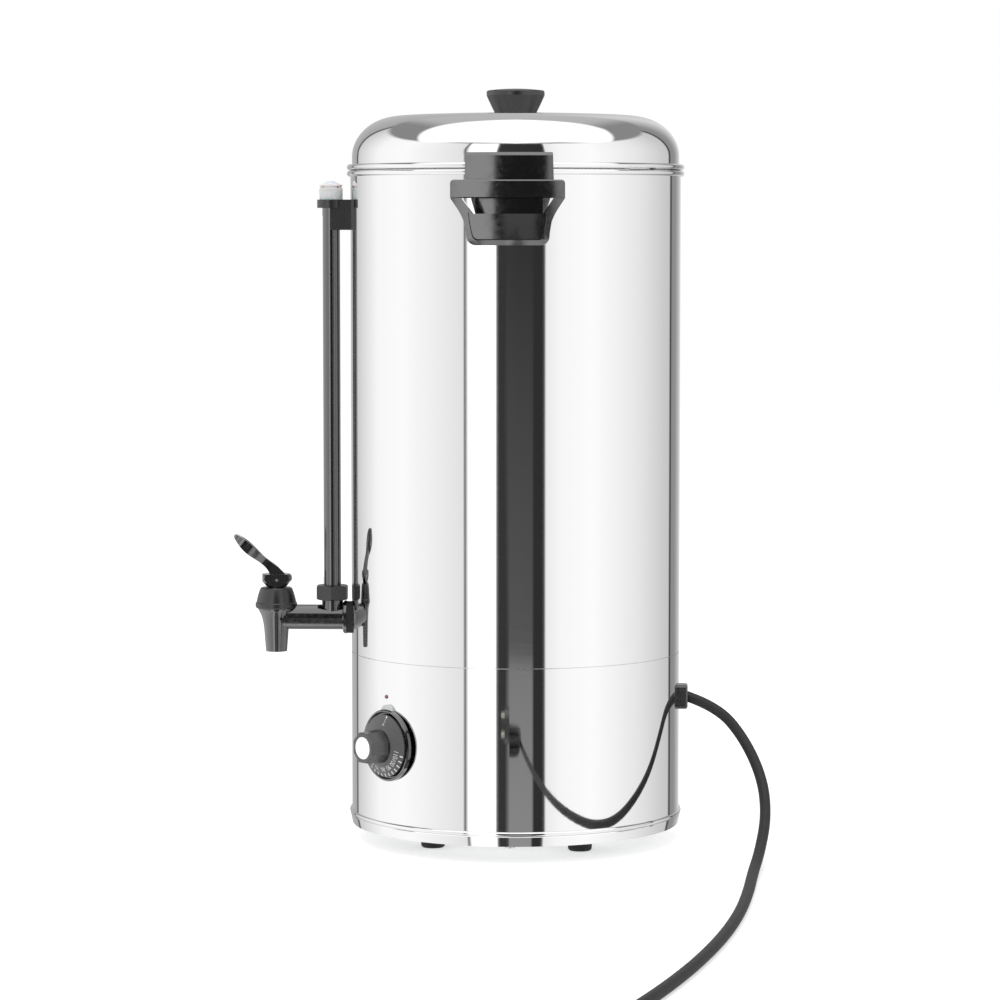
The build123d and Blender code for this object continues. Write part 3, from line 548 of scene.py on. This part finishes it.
def studio_world():
    """Works out the studio's brightness for each direction and makes it the world."""
    world = bpy.data.worlds.new("studio")
    bpy.context.scene.world = world
    world.use_nodes = True
    tree = world.node_tree
    tree.nodes.clear()

    def maths(operation, first, second=0.0, third=0.0):
        return add(tree, "ShaderNodeMath", {0: first, 1: second, 2: third}, operation=operation).outputs[0]

    def blend(share, first, second):
        return maths("MULTIPLY_ADD", share, maths("SUBTRACT", second, first), first)

    def step(value, start, end):
        return add(tree, "ShaderNodeMapRange", {"Value": value, "From Min": start, "From Max": end},
                   interpolation_type="SMOOTHSTEP").outputs["Result"]

    way = add(tree, "ShaderNodeTexCoord").outputs["Generated"]
    way = add(tree, "ShaderNodeMapping", {"Vector": way, "Rotation": (0, 0, STUDIO_TURN)}).outputs["Vector"]
    x, y, z = add(tree, "ShaderNodeSeparateXYZ", {"Vector": way}).outputs

    turn = maths("MULTIPLY_ADD", maths("ARCTAN2", y, x), 0.5 / pi, 0.5)
    share = round_ramp(tree, turn, FLOOR_SHARE)
    slope = maths("MULTIPLY_ADD", z, 2.0, 0.5)
    front = ramp_of(tree, slope, [(0.5 + 2.0 * rise, value) for rise, value in FLOOR_BRIGHTNESS])
    low = maths("ADD", round_ramp(tree, turn, SCREENS), maths("MULTIPLY", share, front))

    rise = maths("MAXIMUM", z, LEAST_RISE)
    along = maths("DIVIDE", x, rise)
    across = maths("ABSOLUTE", maths("DIVIDE", y, rise))
    beside = maths("POWER", maths("DIVIDE", across, BOX_HALF_WIDTH), BOX_SIDES)
    off_middle = maths("ABSOLUTE", maths("DIVIDE", maths("SUBTRACT", along, BOX_MIDDLE), BOX_HALF_LENGTH))
    beyond = maths("POWER", off_middle, BOX_ENDS)
    lit = step(maths("ADD", beside, beyond), *BOX_FADE)
    around = blend(step(across, *CEILING_FADE), *CEILING_BRIGHTNESS)
    ceiling = blend(lit, around, BOX_BRIGHTNESS)
    show_world(tree, maths("MULTIPLY", blend(step(z, *CEILING_START), low, ceiling), STUDIO_LEVEL))


class UrnFinishSettings(bpy.types.PropertyGroup):
    """Colours of the main finishes, and the corners of the handles"""
    steel: bpy.props.FloatVectorProperty(name="Steel", description="Colour of the polished stainless",
                                         subtype="COLOR", default=linear("DEDEDE")[:3], min=0.0, max=1.0)
    black: bpy.props.FloatVectorProperty(name="Black", description="Colour of the glossy black mouldings",
                                         subtype="COLOR", default=linear("101012")[:3], min=0.0, max=1.0)
    lamp: bpy.props.FloatVectorProperty(name="Pilot lamp", description="Colour of the pilot lamp's lens",
                                        subtype="COLOR", default=linear("BC7088")[:3], min=0.0, max=1.0)
    ink: bpy.props.FloatVectorProperty(name="Scale", description="Colour of the printed marks on the dial",
                                       subtype="COLOR", default=linear("F4F4F2")[:3], min=0.0, max=1.0)
    rounding: bpy.props.FloatProperty(name="Rounding", description="Corner radius of both handles",
                                      default=0.0012, unit="LENGTH", min=0.0001, max=0.002)


class UrnScaleSettings(bpy.types.PropertyGroup):
    """Sizes and turns of the marks printed on the dial"""
    digits: bpy.props.FloatProperty(name="Digit height", description="Height of the figures on the dial",
                                    default=0.0036, unit="LENGTH", min=0.001, max=0.006)
    tick: bpy.props.FloatProperty(name="Tick length", description="Length of the scale's marks",
                                  default=0.0027, unit="LENGTH", min=0.0005, max=0.004)
    step: bpy.props.FloatProperty(name="Step", description="Turn of the dial for ten degrees of water",
                                  default=radians(22.5), subtype="ANGLE", min=0.1, max=0.6)
    top: bpy.props.FloatProperty(name="Hottest mark", description="Turn from the dial's top to 110",
                                 default=radians(106.0), subtype="ANGLE", min=0.0, max=3.1)
    off: bpy.props.FloatProperty(name="Off mark", description="Turn from the dial's top to the off mark",
                                 default=radians(10.0), subtype="ANGLE", min=0.0, max=1.0)


class UrnLeadSettings(bpy.types.PropertyGroup):
    """Sizes and colour of the mains lead"""
    diameter: bpy.props.FloatProperty(name="Diameter", description="Diameter of the mains lead's sheath",
                                      default=0.0088, unit="LENGTH", min=0.004, max=0.012)
    length: bpy.props.FloatProperty(name="Length", description="Length from bush to plug, as declared",
                                    default=1.8, unit="LENGTH", min=0.5, max=5.0)
    coil: bpy.props.FloatProperty(name="Coil radius", description="Radius of the middle of the stored turns",
                                  default=0.045, unit="LENGTH", min=0.03, max=0.1)
    sheath: bpy.props.FloatVectorProperty(name="Sheath", description="Colour of the lead's rubber sheath",
                                          subtype="COLOR", default=linear("19191B")[:3], min=0.0, max=1.0)


class UrnStageSettings(bpy.types.PropertyGroup):
    """Floor and lamp round the urn"""
    floor: bpy.props.FloatProperty(name="Floor", description="Side of the square floor", default=14.0,
                                   unit="LENGTH", min=2.0, max=40.0)
    lamp: bpy.props.FloatProperty(name="Lamp", description="Power of the overhead lamp", default=26.0,
                                  subtype="POWER", min=0.0, max=200.0)


class URN_OT_stage(bpy.types.Operator):
    """Sets up the camera, a pale floor, an overhead lamp and the studio's screens"""
    bl_idname = "urn.stage"
    bl_label = "Set the stage"

    def execute(self, context):
        settings = context.scene.urn_stage
        camera = bpy.data.objects.new("camera", bpy.data.cameras.new("camera"))
        context.collection.objects.link(camera)
        camera.location = CAMERA_PLACE
        camera.rotation_euler = CAMERA_ANGLES
        camera.data.lens = CAMERA_LENS
        camera.data.sensor_width = CAMERA_SENSOR
        camera.data.clip_end = CAMERA_REACH
        context.scene.camera = camera

        bpy.ops.object.select_all(action="DESELECT")
        bpy.ops.mesh.primitive_plane_add(size=settings.floor, location=(0, 0, 0))
        floor = context.active_object
        floor.name = "floor"
        floor.visible_glossy = False
        cover(floor, white_paper())

        lamp = bpy.data.objects.new("overhead lamp", bpy.data.lights.new("overhead lamp", "AREA"))
        context.collection.objects.link(lamp)
        lamp.data.size = LAMP_SIZE
        lamp.data.energy = settings.lamp
        lamp.location = LAMP_PLACE
        lamp.rotation_euler = (Vector(LAMP_TARGET) - lamp.location).to_track_quat("-Z", "Y").to_euler()
        lamp.visible_glossy = False
        studio_world()
        return {"FINISHED"}


def stored_turns(radius, size):
    """Points of the lead's line through the coil, for its middle radius and the lead's diameter."""
    last_turn = COIL_STAGES[-1][0]
    half_step = pi * last_turn / COIL_STEPS
    points = []
    for number in range(COIL_STEPS + 1):
        turns = last_turn * number / COIL_STEPS
        for (start, out_a, up_a), (end, out_b, up_b) in zip(COIL_STAGES, COIL_STAGES[1:]):
            if turns <= end + 1e-9:
                share = max(0.0, (turns - start) / (end - start))
                out, up = out_a + (out_b - out_a) * share, up_a + (up_b - up_a) * share
                break
        # The curve runs inside its points, so they stand a little further out.
        reach = (radius + out * size) / cos(half_step)
        angle = COIL_START - 2 * pi * turns
        points.append((COIL_CENTRE[0] + reach * cos(angle), COIL_CENTRE[1] + reach * sin(angle), up * size))
    return points


class URN_OT_lead(bpy.types.Operator):
    """Lays the mains lead along its route, stores the rest in a coil and finishes the plug"""
    bl_idname = "urn.lead"
    bl_label = "Lay the mains lead"

    def execute(self, context):
        settings = context.scene.urn_lead
        size = settings.diameter
        turns = stored_turns(settings.coil, size)
        climb = (turns[-1][0] - CLIMB_BACK, CLIMB_SIDE, CLIMB_HEIGHT)
        points = [*LEAD_ROUTE, *turns, climb, PLUG_MOUTH, PLUG_END]
        curve = bpy.data.curves.new("mains_lead", "CURVE")
        curve.dimensions = "3D"
        spline = curve.splines.new("NURBS")
        spline.points.add(len(points) - 1)
        for point, place in zip(spline.points, points):
            point.co = (*place, 1.0)
        spline.order_u = 3
        spline.use_endpoint_u = True
        spline.resolution_u = 8
        curve.bevel_depth = size / 2
        curve.bevel_resolution = 6
        curve.use_fill_caps = True
        lead = bpy.data.objects.new("mains_lead", curve)
        context.collection.objects.link(lead)
        curve.materials.append(lead_sheath())
        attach(lead, "urn")
        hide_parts("mains_cord", "cord_coil", "cord_tail")
        plug = softened("mains_plug", "lead_plug", PLUG_ROUNDING, "urn")
        cover(plug, satin_thermoset())
        coat("plug_pins", nickel_plate())
        return {"FINISHED"}


class URN_OT_body(bpy.types.Operator):
    """Gives the tank, base, foot ring and lid their polish, and finishes the knob, feet and screws"""
    bl_idname = "urn.body"
    bl_label = "Polish the body"

    def execute(self, context):
        for node in ("tank_shell", "base_skirt", "base_ring", "lid_shell"):
            coat(node, polished_stainless())
        for node in ("tank_floor", "lid_skirt", "base_cover"):
            coat(node, satin_stainless())
        for node in ("cover_screws", "foot_screws", "handle_screws", "lid_screw", "bracket_screw"):
            coat(node, turned_stainless())
        coat("feet", black_rubber())
        coat("lid_knob", satin_phenolic())
        coat("lid_washer", food_silicone())
        return {"FINISHED"}


class URN_OT_handles(bpy.types.Operator):
    """Rounds the corners of both side handles and gives them their gloss"""
    bl_idname = "urn.handles"
    bl_label = "Finish the handles"

    def execute(self, context):
        for side in ("right", "left"):
            piece = softened(f"handle_{side}", f"grip_{side}", context.scene.urn_finish.rounding, "urn")
            cover(piece, bright_phenolic())
        return {"FINISHED"}


class URN_OT_tap(bpy.types.Operator):
    """Finishes the tap, its lever and the seals inside it"""
    bl_idname = "urn.tap"
    bl_label = "Finish the tap"

    def execute(self, context):
        coat("tap_body", bright_phenolic())
        coat("tap_bonnet", satin_phenolic())
        lever = softened("tap_lever", "lever_paddle", LEVER_ROUNDING, "lever")
        cover(lever, bright_phenolic())
        coat("tap_washers", black_rubber())
        coat("seat_cup", food_silicone())
        for node in ("tap_stem", "stem_spring", "lever_pin"):
            coat(node, turned_stainless())
        coat("tap_nut", turned_brass())
        return {"FINISHED"}


class URN_OT_gauge(bpy.types.Operator):
    """Finishes the sight gauge: glass, guard, nut, clip and cap"""
    bl_idname = "urn.gauge"
    bl_label = "Finish the sight gauge"

    def execute(self, context):
        coat("gauge_guard", bright_phenolic())
        for node, name in (("gauge_nut", "gauge_collar"), ("gauge_bracket", "gauge_clip")):
            cover(softened(node, name, FITTING_ROUNDING, "urn"), satin_phenolic())
        coat("gauge_seal", food_silicone())
        coat("sight_glass", gauge_glass())
        coat("gauge_cap", milky_polypropylene())
        return {"FINISHED"}


class URN_OT_controls(bpy.types.Operator):
    """Finishes the dial, prints its scale, and finishes the pilot lamp and the lead's bush"""
    bl_idname = "urn.controls"
    bl_label = "Finish the controls"

    def bar(self, width, length):
        """A flat printed bar round its own middle."""
        bpy.ops.object.select_all(action="DESELECT")
        bpy.ops.mesh.primitive_cube_add(size=1.0)
        mark = bpy.context.active_object
        mark.scale = (width, length, 2 * INK_DEPTH)
        bpy.ops.object.transform_apply(scale=True)
        return mark

    def figure(self, text, height):
        """A flat printed figure round its own middle."""
        bpy.ops.object.select_all(action="DESELECT")
        bpy.ops.object.text_add()
        letters = bpy.context.active_object.data
        letters.body = text
        letters.size = height / CAPITAL_SHARE
        letters.align_x, letters.align_y = "CENTER", "CENTER"
        letters.extrude = INK_DEPTH
        bpy.ops.object.convert(target="MESH")
        mark = bpy.context.active_object
        mark.scale.x = FIGURE_WIDTH
        bpy.ops.object.transform_apply(scale=True)
        return mark

    def off_mark(self, turn):
        """The three marks that show where the dial is off."""
        bpy.ops.object.select_all(action="DESELECT")
        bpy.ops.mesh.primitive_cylinder_add(radius=OFF_DOT, depth=2 * INK_DEPTH, vertices=24)
        dot = drape(bpy.context.active_object, OFF_DOT_AT, turn)
        line = drape(self.bar(*OFF_LINE), OFF_LINE_AT, turn)
        return [dot, line, drape(self.bar(*OFF_BAR), OFF_BAR_AT, turn)]

    def execute(self, context):
        coat("dial_bezel", bright_phenolic())
        grip = softened("dial_knob", "dial_grip", GRIP_ROUNDING, "dial", limit=GRIP_ROUNDED_FROM)
        cover(grip, satin_thermoset())
        coat("dial_cap", spun_aluminium())
        coat("thermostat_shaft", turned_brass())
        coat("dial_index", pale_acetal())
        coat("pilot_lamp", lamp_lens())
        cover(softened("cord_gland", "lead_bush", FITTING_ROUNDING, "urn"), satin_thermoset())
        coat("gland_nut", satin_thermoset())

        settings = context.scene.urn_scale
        marks = []
        for number in range(FIGURES):
            figure = self.figure(str(HOTTEST - DEGREES_APART * number), settings.digits)
            marks.append(drape(figure, FIGURE_RADIUS, -(settings.top + number * settings.step)))
        for number in range(2 * FIGURES - 1):
            tick = self.bar(TICK_WIDTH, settings.tick)
            turn = -(settings.top + number * settings.step / 2)
            marks.append(drape(tick, TICK_END - settings.tick / 2, turn))
        marks += self.off_mark(-settings.off)
        only(marks[0])
        for mark in marks:
            mark.select_set(True)
        bpy.ops.object.join()
        scale = context.active_object
        scale.name = "dial_scale"
        cover(scale, scale_ink())
        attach(scale, "dial")
        return {"FINISHED"}


class URN_OT_inside(bpy.types.Operator):
    """Finishes the heater, the thermostat and the wiring under the tank"""
    bl_idname = "urn.inside"
    bl_label = "Finish the inside"

    def execute(self, context):
        coat("heater_plate", cast_aluminium())
        coat("heating_element", element_sheath())
        coat("heater_clamp", turned_stainless())
        coat("thermostat_body", grey_polyamide())
        coat("thermostat_screws", turned_stainless())
        coat("thermostat_sensor", drawn_copper())
        coat("dry_boil_cutout", glazed_steatite())
        coat("terminal_block", glazed_steatite())
        coat("earth_stud", turned_brass())
        return {"FINISHED"}


class URN_PT_panel(bpy.types.Panel):
    """Lists the urn's pieces and their sizes"""
    bl_idname = "URN_PT_panel"
    bl_label = "Hot Water Urn"
    bl_space_type = "VIEW_3D"
    bl_region_type = "UI"
    bl_category = "Urn"

    def draw(self, context):
        for settings in (context.scene.urn_finish, context.scene.urn_scale, context.scene.urn_lead,
                         context.scene.urn_stage):
            for name in settings.bl_rna.properties.keys():
                if name not in ("rna_type", "name"):
                    self.layout.prop(settings, name)
        for step in STEPS:
            self.layout.operator(step.bl_idname)


STEPS = (URN_OT_stage, URN_OT_lead, URN_OT_body, URN_OT_handles, URN_OT_tap, URN_OT_gauge, URN_OT_controls,
         URN_OT_inside)
SETTINGS = (("urn_finish", UrnFinishSettings), ("urn_scale", UrnScaleSettings), ("urn_lead", UrnLeadSettings),
            ("urn_stage", UrnStageSettings))


def register():
    for name, group in SETTINGS:
        bpy.utils.register_class(group)
        setattr(bpy.types.Scene, name, bpy.props.PointerProperty(type=group))
    for made in (*STEPS, URN_PT_panel):
        bpy.utils.register_class(made)


def unregister():
    for made in (URN_PT_panel, *reversed(STEPS)):
        bpy.utils.unregister_class(made)
    for name, group in reversed(SETTINGS):
        delattr(bpy.types.Scene, name)
        bpy.utils.unregister_class(group)


def main():
    register()
    bpy.context.scene.view_settings.view_transform = "Standard"
    bpy.ops.urn.stage()
    bpy.ops.urn.lead()
    bpy.ops.urn.body()
    bpy.ops.urn.handles()
    bpy.ops.urn.tap()
    bpy.ops.urn.gauge()
    bpy.ops.urn.controls()
    bpy.ops.urn.inside()


if __name__ == "__main__":
    main()
